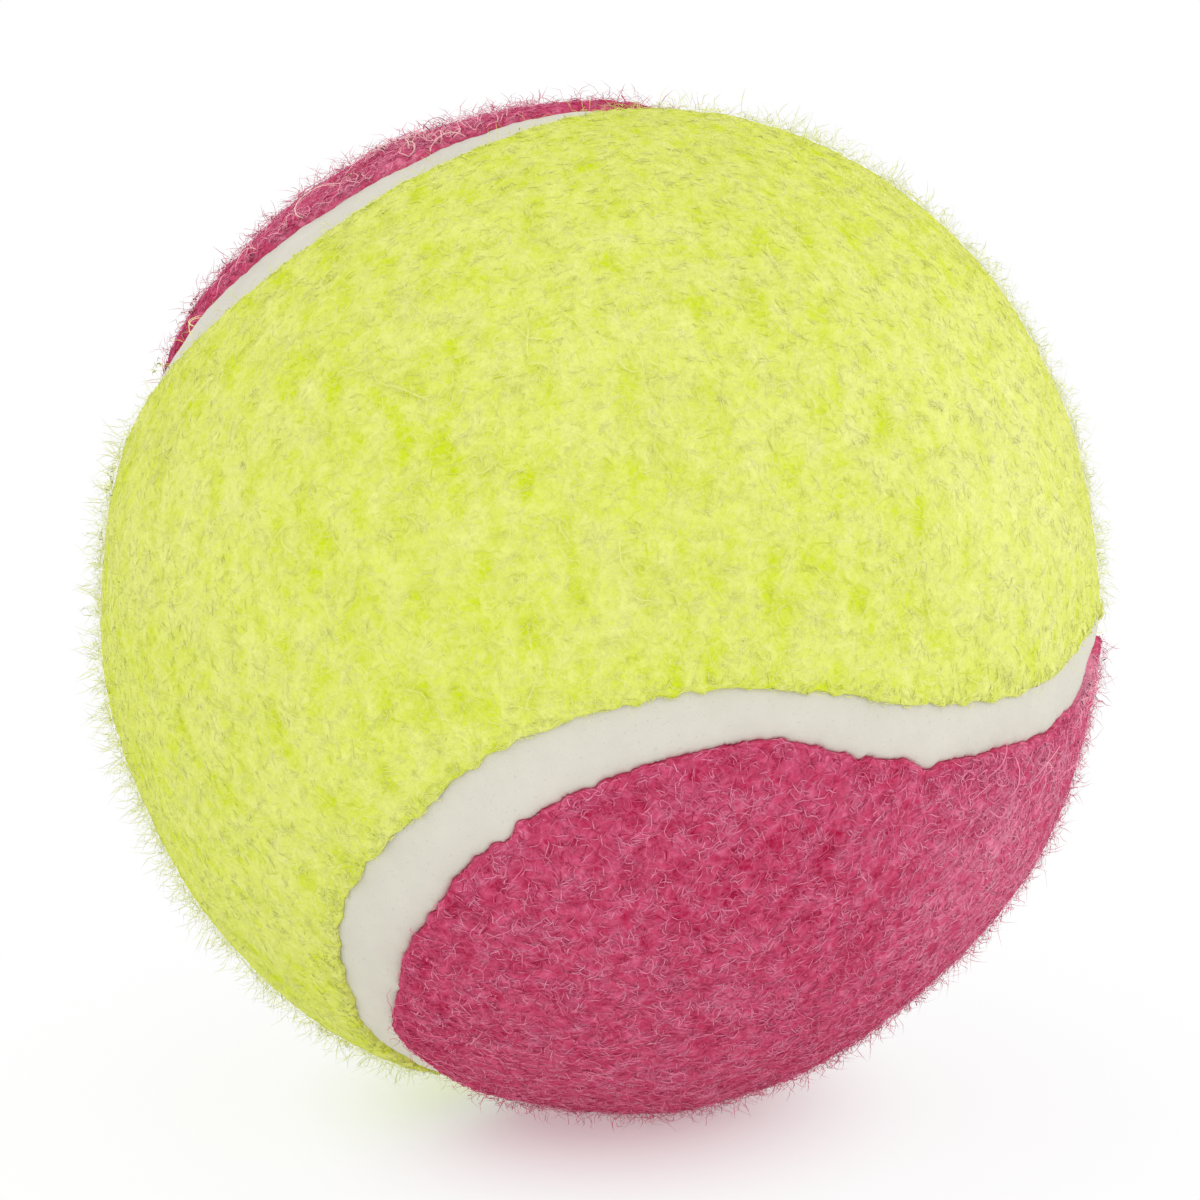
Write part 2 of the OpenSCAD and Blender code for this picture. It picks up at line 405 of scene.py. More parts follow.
def add_piece(name, points, triangles, finish, node, slot, values=None, corners=None, normals=None):
    """Writes one closed piece, rides it on the root body, hides the CAD node that it takes the place of
    and gives it its finish.
    """
    if enclosed(points, triangles) < 0:
        triangles = triangles[:, ::-1]
        corners = None if corners is None else corners.reshape(-1, 3, 2)[:, ::-1].reshape(-1, 2)
    mesh = bpy.data.meshes.new(name)
    mesh.vertices.add(len(points))
    mesh.vertices.foreach_set("co", (points * MM).ravel())
    mesh.loops.add(triangles.size)
    mesh.loops.foreach_set("vertex_index", triangles.ravel().astype(np.int32))
    mesh.polygons.add(len(triangles))
    mesh.polygons.foreach_set("loop_start", np.arange(0, triangles.size, 3, dtype=np.int32))
    mesh.update(calc_edges=True)
    mesh.polygons.foreach_set("use_smooth", np.ones(len(triangles), dtype=bool))
    for key, data in (values or {}).items():
        mesh.attributes.new(key, "FLOAT", "POINT").data.foreach_set("value", data.astype(np.float32))
    if normals is not None:
        shading = mesh.attributes.new("custom_normal", "FLOAT_VECTOR", "POINT")
        shading.data.foreach_set("vector", normals.ravel())
    if corners is not None:
        mesh.uv_layers.new(name="OFBake").data.foreach_set("uv", corners.ravel().astype(np.float32))
    piece = bpy.data.objects.new(name, mesh)
    bpy.context.scene.collection.objects.link(piece)
    mesh.materials.append(finish)
    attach(piece, "root")
    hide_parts(node)
    volume = round(enclosed(points, triangles), 1)
    print(name, len(triangles), "triangles,", volume, "mm3,", open_edges(triangles), "open edges")


# %% [markdown]
# ## Shader sums
# A finish is easier to read as sums than as a picture of nodes. `Value` wraps a socket, so that
# `0.4 + 0.6 * lumps` adds the Math nodes it needs, and `Finish.node` makes any other node from
# its type, its settings and what goes into its sockets.

# %% Values in a shader
class Value:
    """A socket in a shader. Python's operators on it add Math nodes."""

    def __init__(self, finish, socket):
        self.finish, self.socket = finish, socket

    def math(self, operation, *others):
        """A Math node over the given values."""
        return self.finish.node("ShaderNodeMath", {"operation": operation}, dict(enumerate(others)))

    def __add__(self, other):
        return self.math("ADD", self, other)

    def __sub__(self, other):
        return self.math("SUBTRACT", self, other)

    def __rsub__(self, other):
        return self.math("SUBTRACT", other, self)

    def __mul__(self, other):
        return self.math("MULTIPLY", self, other)

    def __abs__(self):
        return self.math("ABSOLUTE", self)

    def clamped(self):
        return self.finish.node("ShaderNodeClamp", {}, {"Value": self})

    __radd__, __rmul__ = __add__, __mul__


def rgb(red, green, blue):
    """A colour named as in a paint program, 0 to 255, as the linear colour that a shader takes."""
    levels = np.array([red, green, blue]) / 255
    linear = np.where(levels <= 0.04045, levels / 12.92, ((levels + 0.055) / 1.055) ** 2.4)
    return (*linear, 1.0)


# %% A finish
class Finish:
    """A material, or the world, written as sums. Patterns read Object coordinates, so they stay on
    the ball."""

    def __init__(self, name, world=False):
        self.material = (bpy.data.worlds if world else bpy.data.materials).new(name)
        self.material.use_nodes = True
        self.tree = self.material.node_tree
        self.tree.nodes.clear()
        self.end_kind = "ShaderNodeOutputWorld" if world else "ShaderNodeOutputMaterial"
        self.place = None if world else self.node("ShaderNodeTexCoord", {}, {}, "Object")

    def node(self, kind, settings, inputs, output=0):
        """A node's output, the node made from its type, settings and inputs."""
        made = self.tree.nodes.new(kind)
        for key, value in settings.items():
            setattr(made, key, value)
        for key, value in inputs.items():
            if isinstance(value, Value):
                self.tree.links.new(value.socket, made.inputs[key])
            else:
                made.inputs[key].default_value = value
        return Value(self, made.outputs[output])

    def noise(self, size, detail=2.0, roughness=0.5, distortion=0.0):
        """Noise with features of a size in millimetres, from 0 to 1."""
        inputs = {"Vector": self.place, "Scale": 1 / (size * MM), "Detail": detail,
                  "Roughness": roughness, "Distortion": distortion}
        return self.node("ShaderNodeTexNoise", {}, inputs)

    def lines(self, size, thickness, distortion=0.6):
        """Curling lines, 1 along their middle: where a smooth noise passes 0.5, fading over the share of
        its range that the thickness in millimetres takes up."""
        level = self.noise(size, 1, 0.5, distortion)
        return (1 - abs(level - 0.5) * (2 * size / thickness / 3)).clamped()

    def attribute(self, name):
        """A value written on the mesh's points."""
        return self.node("ShaderNodeAttribute", {"attribute_name": name}, {}, "Fac")

    def mix(self, share, first, second):
        """The first colour where share is 0 and the second where it is 1."""
        return self.node("ShaderNodeMix", {"data_type": "RGBA"}, {0: share, 6: first, 7: second}, 2)

    def bump(self, height, depth):
        """The normal over a relief whose height runs from 0 to 1 over a depth in millimetres."""
        return self.node("ShaderNodeBump", {}, {"Height": height, "Distance": depth * MM, "Strength": 1.0})

    def seen(self):
        """1 for rays from the camera, a mirror or glass, and 0 for those that carry light."""
        kinds = ("Is Camera Ray", "Is Glossy Ray", "Is Transmission Ray")
        rays = self.node("ShaderNodeLightPath", {}, {}).socket.node.outputs
        camera, glossy, clear = (Value(self, rays[kind]) for kind in kinds)
        return (camera + glossy + clear).clamped()

    def surface(self, **inputs):
        """Ends the finish with one Principled shader."""
        named = {key.replace("_", " "): value for key, value in inputs.items()}
        return self.end(self.node("ShaderNodeBsdfPrincipled", {}, named))

    def end(self, shader):
        """Joins the shader to the output and gives the material."""
        output = self.tree.nodes.new(self.end_kind)
        self.tree.links.new(shader.socket, output.inputs["Surface"])
        return self.material


# %% [markdown]
# ## The felt's finishes
# Felt is wool and nylon, dull from every side. Its body shows only between the fibres, so it takes
# the deep colour of the hollows, with tangles and thin pale strands in a shallow relief. That deep
# colour, darker still in the body's hollows, is partly the felt's own and partly painted shade.
# Painted pictures would do for a flat felt, but fibres cross each other, so each has its own
# paleness, written on its points, and one scale of five colours turns paleness into colour.

# %% Felt colours, from soiled and deep through middle and pale to bleached
FELT_COLOURS = {
    YELLOW: [(146, 126, 66), (214, 229, 36), (231, 238, 119), (242, 244, 152), (250, 246, 214)],
    PINK: [(140, 112, 60), (182, 30, 72), (218, 90, 128), (246, 152, 182), (250, 214, 200)],
}
BODY_TONE = {YELLOW: 0.12, PINK: 0.02}
STRAND_TONE = {YELLOW: 0.22, PINK: 0.24}


def shaded(finish, side, paleness):
    """Soiled at -1, deep at 0, the middle colour at 0.5, pale at 1 and bleached at 2."""
    soiled, deep, middle, pale, bleached = (rgb(*colour) for colour in FELT_COLOURS[side])
    low = finish.mix((paleness + 1).clamped(), soiled, deep)
    lower = finish.mix((2 * paleness).clamped(), low, middle)
    upper = finish.mix((2 * paleness - 1).clamped(), lower, pale)
    return finish.mix((paleness - 1).clamped(), upper, bleached)


def felt_finish(side):
    """The body: tangles, slow clouds and strands of three sizes."""
    finish = Finish(NAMES[side] + "_felt_body")
    tangle = finish.noise(0.35, 3, 0.6, 1.6)
    cloud = finish.noise(5, 1, 0.5)
    strands = finish.lines(1.3, 0.1) + 0.8 * finish.lines(0.85, 0.08, 1.2) + 0.6 * finish.lines(0.55, 0.07)
    # Painted shade: the lump term makes the body deeper in its hollows. The paled places add wear and
    # painted rim light.
    paleness = BODY_TONE[side] + 0.15 * finish.attribute("lump") + 0.3 * (tangle - 0.5) + 0.2 * (cloud - 0.5)
    paleness = (paleness + finish.attribute("faded_and_rim_lit") + STRAND_TONE[side] * strands).clamped()
    normal = finish.bump(tangle + 0.4 * strands, 0.1)
    return finish.surface(Base_Color=shaded(finish, side, paleness), Normal=normal, Roughness=0.95,
                          Specular_IOR_Level=0.0)


def nap_finish(side):
    """The fibres: their own paleness under slow clouds."""
    finish = Finish(NAMES[side] + "_nap")
    paleness = finish.attribute("paleness") + 0.2 * (finish.noise(5, 1, 0.5) - 0.5)
    return finish.surface(Base_Color=shaded(finish, side, paleness), Roughness=0.9, Specular_IOR_Level=0.0)


felt_bodies = {side: felt_finish(side) for side in NAMES}
naps = {side: nap_finish(side) for side in NAMES}
print("felt finishes:", [finish.name for finish in (*felt_bodies.values(), *naps.values())])

# %% [markdown]
# ## A panel's layers
# Felt and cloth have the same outline, so one function makes both. A panel is cut into rows. Each
# row is a closed loop: up the cut edge on the left, over the rounding, across the face along a
# great circle to the mirror point on the right, down that edge and back underneath. Rows shrink to
# a point at both ends of the panel, where welding closes the shape.

# %% One panel layer
EDGE_BAND = 1.2
FAR_INSIDE = EDGE_BAND + 9.0


def beside_edge(side, stations, depths):
    """Points edge + depth from the seam's middle beside each station. The edge's roughness fades with
    depth over the edge band."""
    fade = np.minimum(depths / EDGE_BAND, 1)
    edge = EDGE[side][stations][:, None] * (1 - fade) + EDGE_SMOOTH[side][stations][:, None] * fade
    return toward(MIDDLE[stations][:, None], ACROSS[stations][:, None], (edge + side * depths) / BALL_R)


def between(starts, ends, steps):
    """The steps - 1 directions that part the great circle from each start to its end evenly."""
    cosine = dots(starts, ends)
    bend = unit(ends - starts * cosine[:, None] + 1e-12)
    shares = np.arange(1, steps)[None] / steps
    return toward(starts[:, None], bend[:, None], np.arccos(np.clip(cosine, -1, 1))[:, None] * shares)


def panel_layer(side, foot_radius, edge_table, face_columns, under_columns, radius_of, thin=1):
    """Rows between mirror stations top + i and top - i, the top being the middle of a lobe. Up the cut
    edge go (depth inside it, share of the layer's height). Returns points, triangles and the
    direction of each point."""
    top = HALF_STEPS if side == PINK else 3 * HALF_STEPS
    i = np.arange(0, STATIONS // 2 + 1, thin)
    depths, heights = np.array(edge_table, dtype=float).T
    left, right = (beside_edge(side, stations % STATIONS, depths) for stations in (top + i, top - i))
    upper = np.concatenate([left, between(left[:, -1], right[:, -1], face_columns), right[:, ::-1]], axis=1)
    inside = np.concatenate([depths, np.full(face_columns - 1, FAR_INSIDE), depths[::-1]])
    lift = np.concatenate([heights, np.ones(face_columns - 1), heights[::-1]])
    over = radius_of(upper, np.broadcast_to(inside, upper.shape[:2]))
    under = between(right[:, 0], left[:, 0], under_columns)
    directions = np.concatenate([upper, under], axis=1)
    feet = np.full(under.shape[:2], foot_radius)
    radii = np.concatenate([foot_radius + (over - foot_radius) * lift, feet], axis=1)
    points = (directions * radii[..., None]).reshape(-1, 3)
    points, triangles, first = welded(points, joined_rings(*radii.shape, closed=False))
    return points, triangles, directions.reshape(-1, 3)[first]


# %% The two felt bodies
FELT_EDGE = [(0, 0), (0, 0.5), (0, 1), (0.05, 1), (0.12, 1), (0.24, 1), (0.4, 1), (0.7, 1), (EDGE_BAND, 1)]

for side, name in NAMES.items():
    points, triangles, directions = panel_layer(side, CLOTH_R, FELT_EDGE, 60, 6, felt_radius)
    # The lump value paints shade into the body's hollows; the paled places hold wear and painted rim light.
    values = {"lump": 0.5 + 0.5 * lumps(directions),
              "faded_and_rim_lit": faded_and_rim_lit(directions, side) + patch_tone(directions, side)}
    add_piece(name + "_felt_body", above_floor(points), triangles, felt_bodies[side], name + "_felt",
              name + "_felt", values)

# %% [markdown]
# ## The backing cloths
# Under the nap lies the plain cloth that it grows from. It has the felt's outline, so it is the same
# kind of layer with fewer points, because nobody sees it until the ball is taken apart. Its threads
# are left to the finish.

# %% The two cloths
CLOTH_EDGE = [(0, 0), (0, 1), (EDGE_BAND, 1)]
# The first colour of each pair is painted shade where a thread runs under.
CLOTH_COLOURS = {YELLOW: (rgb(160, 158, 84), rgb(224, 222, 150)),
                 PINK: (rgb(140, 62, 84), rgb(214, 130, 150))}
THREAD_PITCH = 0.7


def weave_finish(name, under_shade, thread):
    """Threads over and under: the sines of x + z / 2 and y - z / 2, whose product picks the upper one.
    The colour is darker where a thread runs under, which is painted shade, and where the fluff is low.
    """
    finish = Finish(name)
    parts = finish.node("ShaderNodeSeparateXYZ", {}, {0: finish.place})
    x, y, z = (Value(finish, output) for output in parts.socket.node.outputs)
    turns = 2 * math.pi / (THREAD_PITCH * MM)
    warp, weft = (way.math("SINE", way) for way in ((x + z * 0.5) * turns, (y - z * 0.5) * turns))
    height = warp * weft * 0.5 + 0.5
    fluff = finish.noise(0.3, 2, 0.6)
    colour = finish.mix((height * 0.7 + fluff * 0.5 - 0.1).clamped(), under_shade, thread)
    return finish.surface(Base_Color=colour, Roughness=0.9, Normal=finish.bump(height + fluff * 0.3, 0.12),
                          Specular_IOR_Level=0.2)


def cloth_radius(directions, inside):
    """The cloth's face lies at one radius."""
    return np.full(inside.shape, CLOTH_R)


for side, name in NAMES.items():
    points, triangles, _ = panel_layer(side, COAT_R, CLOTH_EDGE, 40, 4, cloth_radius, 4)
    weave = weave_finish(name + "_cloth_weave", *CLOTH_COLOURS[side])
    add_piece(name + "_cloth", above_floor(points), triangles, weave, name + "_backing_cloth",
              name + "_cloth")

# %% [markdown]
# ## The seam
# The seam of a real ball is a strip of soft white rubber compound, moulded against the panels'
# edges. It is a ring of cross-sections: nearly flat on top, a little domed, and dipping where it
# meets the felt. Fine grain, a soft mottle and faint specks keep it from looking like plastic.

# %% The seam's finish
def seam_finish():
    """Two whites in slow patches, darker specks and a fine relief."""
    finish = Finish("seam_rubber_grain")
    grain = finish.noise(0.12, 2, 0.7)
    mottle = finish.noise(1.6, 3, 0.6)
    patch = finish.noise(9, 1, 0.5)
    speck = ((finish.noise(0.2, 1, 0.5) - 0.66) * 12).clamped()
    pale = finish.mix((mottle * 0.6 + patch * 0.6 - 0.2).clamped(), rgb(211, 207, 195), rgb(227, 222, 209))
    colour = finish.mix((speck * 0.35).clamped(), pale, rgb(186, 178, 166))
    normal = finish.bump(grain * 0.5 + mottle, 0.06)
    return finish.surface(Base_Color=colour, Roughness=0.62 + 0.2 * grain, Normal=normal,
                          Specular_IOR_Level=0.35)


# %% The seam's ring
SEAM_SHARES = np.concatenate([[0, 0.015, 0.04, 0.09], np.linspace(0.18, 0.82, 7), [0.91, 0.96, 0.985, 1]])
SEAM_RISE, DOME, DIP, DIP_WIDTH = 0.1, 0.1, 0.18, 0.1


def seam_ring():
    """Sections across the seam from the pink edge to the yellow one at shares t of its width. The
    top's radius is the seam's, plus a dome of 4 t (1 - t), minus a dip of exp(-distance / dip width)
    beside the pink felt and one a fifth as deep beside the yellow, plus slow waves. The underside
    lies on the cement coat."""
    reach = WIDTH[:, None]
    across = EDGE[PINK][:, None] + reach * SEAM_SHARES
    top = toward(MIDDLE[:, None], ACROSS[:, None], across / BALL_R)
    beside_pink, beside_yellow = (np.exp(-t * reach / DIP_WIDTH) for t in (SEAM_SHARES, 1 - SEAM_SHARES))
    waves = 0.05 * field(top * BALL_R, 21, 9, 3, 16) + 0.015 * field(top * BALL_R, 22, 1.5, 0.7, 24)
    over = SEAM_R + SEAM_RISE + DOME * 4 * SEAM_SHARES * (1 - SEAM_SHARES)
    over = over - DIP * (beside_pink + 0.2 * beside_yellow) + waves
    low = top[:, [-1, -1, 7, 0, 0]]
    halfway = (COAT_R + SEAM_R) / 2
    low_radii = np.tile([halfway, COAT_R, COAT_R, COAT_R, halfway], (STATIONS, 1))
    directions, radii = np.concatenate([top, low], axis=1), np.concatenate([over, low_radii], axis=1)
    return (directions * radii[..., None]).reshape(-1, 3), joined_rings(*radii.shape, closed=True)


points, triangles = seam_ring()
add_piece("seam_strip", points, triangles, seam_finish(), "seam_rubber", "seam_rubber")

# %% [markdown]
# ## The nap
# Blender's hair would be the quick way, but hair is lost when the model is exported. So each fibre
# is a closed tube with three sides, only wide enough to show, which walks over the ball: every
# step it turns a little, rises out of the mat and sinks back. All fibres of a batch are worked out
# at once, as one array of paths.

# %% Where a point lies on the cover
BLOCK = 16384
TRIES_PER_FIBRE = 4.5


def nearest_station(directions):
    """The station nearest each direction, by the largest scalar product, in blocks that fit in memory."""
    flat = directions.reshape(-1, 3).astype(np.float32)
    transposed = MIDDLE.T.astype(np.float32)
    blocks = [np.argmax(flat[k:k + BLOCK] @ transposed, axis=1) for k in range(0, len(flat), BLOCK)]
    return np.concatenate(blocks).reshape(directions.shape[:-1])


def inside_panel(directions, side):
    """How far inside a panel's edge each direction lies, in millimetres, and its station."""
    station = nearest_station(directions)
    across = np.arcsin(np.clip(dots(directions, ACROSS[station]), -1, 1)) * BALL_R
    return side * (across - EDGE[side][station]), station


def scattered(rng, side, count, least_inside=0.08, bare_hollows=0.5):
    """Random directions spread evenly over one panel, with fewer of them in its hollows and where the
    nap is thin."""
    tries = unit(rng.normal(size=(int(count * TRIES_PER_FIBRE), 3)))
    inside, _ = inside_panel(tries, side)
    tries = tries[inside > least_inside]
    fullness = 0.5 + 0.3 * lumps(tries) + 0.3 * patches(tries, side)
    keep = rng.uniform(size=len(tries)) < 1 - bare_hollows * (1 - np.clip(fullness, 0, 1))
    return tries[keep][:count]


# %% Walking paths
def turned(direction, normal, angle):
    """direction * cos(angle) + (normal x direction) * sin(angle)."""
    return direction * np.cos(angle)[:, None] + np.cross(normal, direction) * np.sin(angle)[:, None]


def walked(rng, roots, headings, length, look, side):
    """From each root, equal steps over the ball. At every step the heading turns by the fibre's own
    curl plus a random crimp, and a point past the panel's edge is moved back to it, except by a
    stray length. Returns directions (fibre, knot) and how far inside the edge they lie."""
    count = len(roots)
    step = (length / (look["knots"] - 1) / BALL_R)[:, None]
    own_curl = rng.normal(size=count) * look["curl"]
    leeway = -rng.exponential(look["stray"], count) + 0.03
    here, ahead = roots, headings
    path, inner = [], []
    for _ in range(look["knots"]):
        inside, station = inside_panel(here, side)
        short = np.maximum(leeway - inside, 0)
        here = unit(here + ACROSS[station] * (side * short / BALL_R)[:, None])
        path.append(here)
        inner.append(inside + short)
        ahead = unit(ahead - here * dots(ahead, here)[:, None])
        ahead = turned(ahead, here, own_curl + rng.normal(size=count) * look["crimp"])
        here = unit(here + ahead * step)
    return np.stack(path, axis=1), np.stack(inner, axis=1)


def any_heading(rng, roots, together=0.0):
    """A random direction along the ball's surface at each root. Neighbours share part of it: a vector
    whose three parts are slow random fields is added, times together, before the length is made one."""
    spread = rng.normal(size=roots.shape)
    shared = np.stack([field(roots * BALL_R, 31 + k, 7, 2.5, 24) for k in range(3)], axis=1)
    spread = spread + together * shared
    return unit(spread - roots * dots(spread, roots)[:, None])


def wandering(rng, roots, look, side):
    """Walks of the look's lengths that set off in any direction."""
    length = rng.uniform(*look["length"], len(roots))
    return walked(rng, roots, any_heading(rng, roots), length, look, side)


# %% Tubes round paths
SIDES = 3
FLATNESS = 0.5
END_LEAN, OUTWARD_LEAN = 0.7, 0.5
LYING_LEAN, STANDING_LEAN = 28, 60


def tubes(paths, thickness, lean):
    """Pointed tubes: at each inner knot three points at centre + radius * (n cos a + flatness * b sin a),
    where n lies along the ball's surface and b points out of it, and one point at each end. A lying
    fibre has a ridge on top, a standing one a flat side. The shading normals of the edges beside it
    lean from b by the given degrees, less than the edges' own would, because a fibre that lets light
    through has no dark outline, and a standing fibre's lean outward too. Returns points and normals."""
    count, knots, _ = paths.shape
    stands = lean == STANDING_LEAN
    ridge = -1 if stands else 1
    along = unit(np.gradient(paths, axis=1))
    n = unit(np.cross(along, unit(paths) + 0.2 * np.roll(along, 1, axis=-1)))
    b = np.cross(n, along)
    radius = thickness[:, None] / 2 * (0.55 + 0.45 * np.sin(np.pi * np.linspace(0, 1, knots)[None]))
    angles = 2 * np.pi * np.arange(SIDES) / SIDES + ridge * np.pi / 2
    slopes = np.radians([90 * ridge, 90 + ridge * lean, 90 - ridge * lean])
    spokes = n[:, :, None] * np.cos(angles)[:, None] + b[:, :, None] * (FLATNESS * np.sin(angles))[:, None]
    edges = n[:, :, None] * np.cos(slopes)[:, None] + b[:, :, None] * np.sin(slopes)[:, None]
    rings = paths[:, :, None] + spokes * radius[..., None, None]
    tips = END_LEAN * along[:, [0, -1]]
    if not stands:
        tips = b[:, [0, -1]] + tips * np.array([-1, 1])[:, None]
    points, normals = (
        np.concatenate([ends[:, :1], inner[:, 1:-1].reshape(count, -1, 3), ends[:, -1:]], axis=1)
        for ends, inner in ((paths, rings), (tips, edges)))
    outward = unit(paths[:, :1]) * (OUTWARD_LEAN if stands else 0)
    return above_floor(points), unit(normals + outward)


def tube_pattern(knots):
    """The triangles of one tube and the place of their corners on its own cell of the map: round
    the tube from left to right, along it from bottom to top."""
    rings, last = knots - 2, SIDES * (knots - 2) + 1
    triangles, places = [], []
    for j in range(SIDES):
        k = (j + 1) % SIDES
        left, middle, right = j / SIDES, (j + 0.5) / SIDES, (j + 1) / SIDES
        triangles.append([0, 1 + k, 1 + j])
        places.append([(middle, 0), (right, 1), (left, 1)])
        for ring in range(rings - 1):
            a, b = 1 + SIDES * ring + j, 1 + SIDES * ring + k
            triangles += [[a, b, b + SIDES], [a, b + SIDES, a + SIDES]]
            low, high = ring + 1, ring + 2
            places += [[(left, low), (right, low), (right, high)],
                       [(left, low), (right, high), (left, high)]]
        a, b = last - SIDES + j, last - SIDES + k
        triangles.append([a, b, last])
        places.append([(left, rings), (right, rings), (middle, rings + 1)])
    return np.array(triangles), np.array(places, dtype=float) / [1, knots - 1]


print("a tube over 4 knots has", len(tube_pattern(4)[0]), "triangles")

# %% Batches of fibres to a piece
CELL_MARGIN = 0.06


def add_nap(name, batches, side):
    """Joins batches of (paths, thickness, paleness, lean) into one piece, each tube with a cell of its
    own on the map."""
    cells = math.ceil(math.sqrt(sum(len(paths) for paths, *_ in batches)))
    parts, begun, placed = [], 0, 0
    for paths, thickness, tone, lean in batches:
        count, knots, _ = paths.shape
        pattern, places = tube_pattern(knots)
        tube, normals = tubes(paths, thickness, lean)
        size = tube.shape[1]
        triangles = pattern[None] + begun + size * np.arange(count)[:, None, None]
        tone = np.broadcast_to(tone, (count, knots))
        tones = np.concatenate([tone[:, :1], np.repeat(tone[:, 1:-1], SIDES, axis=1), tone[:, -1:]], axis=1)
        cell = np.stack(np.divmod(placed + np.arange(count), cells)[::-1], axis=1)
        corners = (CELL_MARGIN + (1 - 2 * CELL_MARGIN) * places[None] + cell[:, None, None]) / cells
        parts.append([tube.reshape(-1, 3), triangles.reshape(-1, 3), tones.ravel(), corners.reshape(-1, 2),
                      normals.reshape(-1, 3).astype(np.float32)])
        begun, placed = begun + count * size, placed + count
    points, triangles, paleness, corners, normals = (np.concatenate(kind) for kind in zip(*parts))
    felt = NAMES[side] + "_felt"
    add_piece(name, points, triangles, naps[side], felt, felt, {"paleness": paleness}, corners, normals)


# %% [markdown]
# ## Kinds of fibre
# Most fibres of a felt lie matted. Over them run longer ones in wide or tight curls, thin ones
# stand up as the haze that shows against the background, and short ones cover the cut edge. One
# curve with other numbers could serve for all, but they rise in their own ways, so each kind is a
# short function: the mat arches out of the body and back, and the haze leaves it on a slope.

# %% The mat
COMBED_PIXEL, COMBED_WIDTH = (625, 470), 9
ROOT_DEPTH = 0.06


def batch(rng, look, path, inside, height, tone, lean=LYING_LEAN):
    """Walks lifted to a height over the felt's body, with their thickness, paleness and lean."""
    paths = path * (felt_radius(path, inside) + height)[..., None]
    return paths, rng.uniform(*look["thickness"], len(path)), tone, lean


def combed(rng, roots, headings):
    """Near the middle of the yellow panel the nap was brushed: headings there lie along the view's
    upward direction, give or take."""
    share = bell(angle_from(roots, pixel_direction(*COMBED_PIXEL)) * BALL_R, COMBED_WIDTH)
    upward = VIEW_UP - roots * (roots @ VIEW_UP)[:, None] + 0.35 * rng.normal(size=roots.shape)
    return unit(headings + upward * (3 * share)[:, None])


def mat(rng, side, look):
    """Fibres that arch out of the body and sink back in, each at its own level. The higher ones are
    paler, and so are those on tufts and in full patches; the deeper colour of the low fibres, of
    those in hollows and of the ends where they sink in is painted shade. Some end loose above the rest."""
    roots = scattered(rng, side, look["count"])
    headings = any_heading(rng, roots, look["together"])
    if side == YELLOW:
        headings = combed(rng, roots, headings)
    each = (len(roots), 1)
    length = rng.uniform(*look["length"], len(roots))
    path, inside = walked(rng, roots, headings, length, look, side)
    level = rng.uniform(0, 1, each) ** 1.3
    share = np.linspace(0, 1, look["knots"])[None]
    arch = np.sin(np.pi * share)
    free = look["free"]
    loose = (rng.uniform(size=each) < look["loose"]) * rng.exponential(free, each).clip(0, 4 * free)
    height = -ROOT_DEPTH + level * look["height"] * (0.35 + 0.65 * arch) + look["arch"] * arch
    tuft = 0.5 + 0.5 * lumps(path)
    height = (height * (0.6 + 0.4 * tuft) + loose * share ** 2.5) * np.clip(0.45 + inside, 0.45, 1)
    # Painted shade: low fibres, fibres in hollows and sinking ends are deeper; full patches are the felt's
    # own.
    tone = look["tone"] + 0.3 * (level - 0.5) + rng.normal(size=each) * look["spread"]
    tone = tone + look["tuft"] * (tuft - 0.5) + 0.1 * (arch - 0.6) + patch_tone(roots, side)[:, None]
    return batch(rng, look, path, inside, height, tone.clip(0, look["palest"]) + faded_and_rim_lit(path, side))


# %% Curls, haze and rim
CURL_LIFT, TUCKED_END = 0.25, -0.08
HAZE_FOOT = 0.1


def own_tone(rng, look, path, side):
    """The kind's paleness, give or take each fibre's own, plus the place's wear and painted rim light."""
    return look["tone"] + rng.normal(size=(len(path), 1)) * look["spread"] + faded_and_rim_lit(path, side)


def curls(rng, side, look):
    """Fibres that run over the mat, up and down as |sin|, with both ends tucked in."""
    roots = scattered(rng, side, look["count"], 0.3, 0)
    each = (len(roots), 1)
    path, inside = wandering(rng, roots, look, side)
    rise = rng.uniform(0.05, look["height"], each)
    share = np.linspace(0, 1, look["knots"])[None]
    height = CURL_LIFT + rise * np.abs(np.sin(np.pi * share * 1.5 + rng.uniform(0, np.pi, each)))
    height = np.where((share == 0) | (share == 1), TUCKED_END, height)
    return batch(rng, look, path, inside, height, own_tone(rng, look, path, side))


def haze(rng, side, look):
    """Thin fibres that stand out of the nap and lean over as they rise, in height as
    reach * (share^0.8 - drop * share^3). They reach further in the shaggy places."""
    roots = scattered(rng, side, look["count"], 0.15, 0.2)
    path, inside = wandering(rng, roots, look, side)
    reach = rng.gamma(1.5, look["height"] / 1.5, len(roots)).clip(0.15, look["tallest"])
    reach = (reach * (1 + outline_bells(roots, SHAGGY)))[:, None]
    share = np.linspace(0, 1, look["knots"])[None]
    drop = rng.uniform(0, 0.4, (len(roots), 1))
    height = HAZE_FOOT + reach * (share ** 0.8 - drop * share ** 3)
    # Painted light and shade: the feet, down in the nap, are deeper, and the tips paler.
    tone = own_tone(rng, look, path, side) + 0.25 * share + patch_tone(roots, side)[:, None]
    return batch(rng, look, path, inside, height, tone, STANDING_LEAN)


def rim(rng, side, look):
    """Short fibres in the half millimetre along the cut edge, which would be bare otherwise."""
    count = look["count"]
    station = rng.integers(0, STATIONS, count)
    place = (EDGE[side][station] + side * rng.uniform(0.02, 0.6, count)) / BALL_R
    path, inside = wandering(rng, toward(MIDDLE[station], ACROSS[station], place), look, side)
    arch = np.sin(np.pi * np.linspace(0, 1, look["knots"]))[None]
    height = rng.uniform(0, 0.08, (count, 1)) + 0.1 * arch - 0.05
    # Painted shade: the ends, where they sink into the body, are deeper than the middles.
    return batch(rng, look, path, inside, height, own_tone(rng, look, path, side) + 0.1 * (arch - 0.5))


